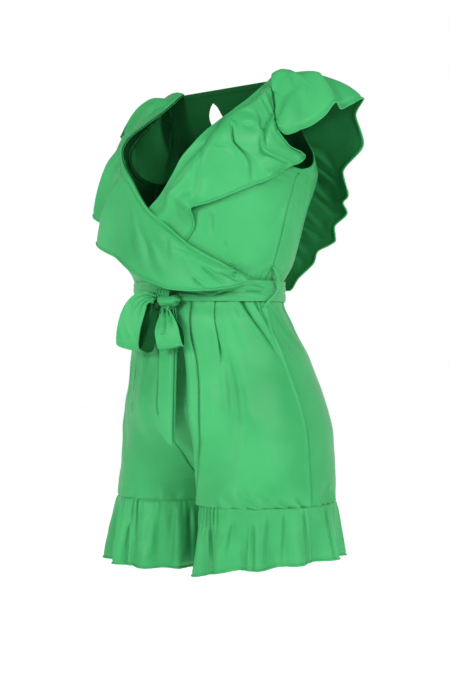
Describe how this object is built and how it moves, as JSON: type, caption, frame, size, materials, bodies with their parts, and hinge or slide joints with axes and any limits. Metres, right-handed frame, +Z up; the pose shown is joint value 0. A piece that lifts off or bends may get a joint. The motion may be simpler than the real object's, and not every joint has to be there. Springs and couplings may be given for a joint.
{
  "type": "romper",
  "caption": "Sleeveless wrap romper in worn form: ruffled V neck, keyhole back, tie belt with a bow, and short legs with ruffled hems.",
  "frame": {"origin": "middle of the shoulder line, where the wearer holds the garment up", "axes": "+Z up, the wearer faces -Y and the wearer's left is +X"},
  "size_m": [0.5246, 0.4012, 0.9285],
  "materials": {
    "jersey": "smooth jersey with a soft sheen"
  },
  "bodies": {
    "root": {"bodice_front_right": "jersey", "bodice_front_left": "jersey", "bodice_back_left": "jersey", "bodice_back_right": "jersey", "neck_button": "jersey", "ruffle_right": "jersey", "ruffle_left": "jersey", "shorts_front_left": "jersey", "shorts_front_right": "jersey", "shorts_back_left": "jersey", "shorts_back_right": "jersey", "hem_ruffle_left": "jersey", "hem_ruffle_right": "jersey", "belt_band": "jersey", "bow_knot": "jersey", "bow_loop_left": "jersey", "bow_loop_right": "jersey", "belt_tail_front": "jersey", "belt_tail_back": "jersey", "belt_carrier_left": "jersey", "belt_carrier_right": "jersey"}
  },
  "joints": []
}
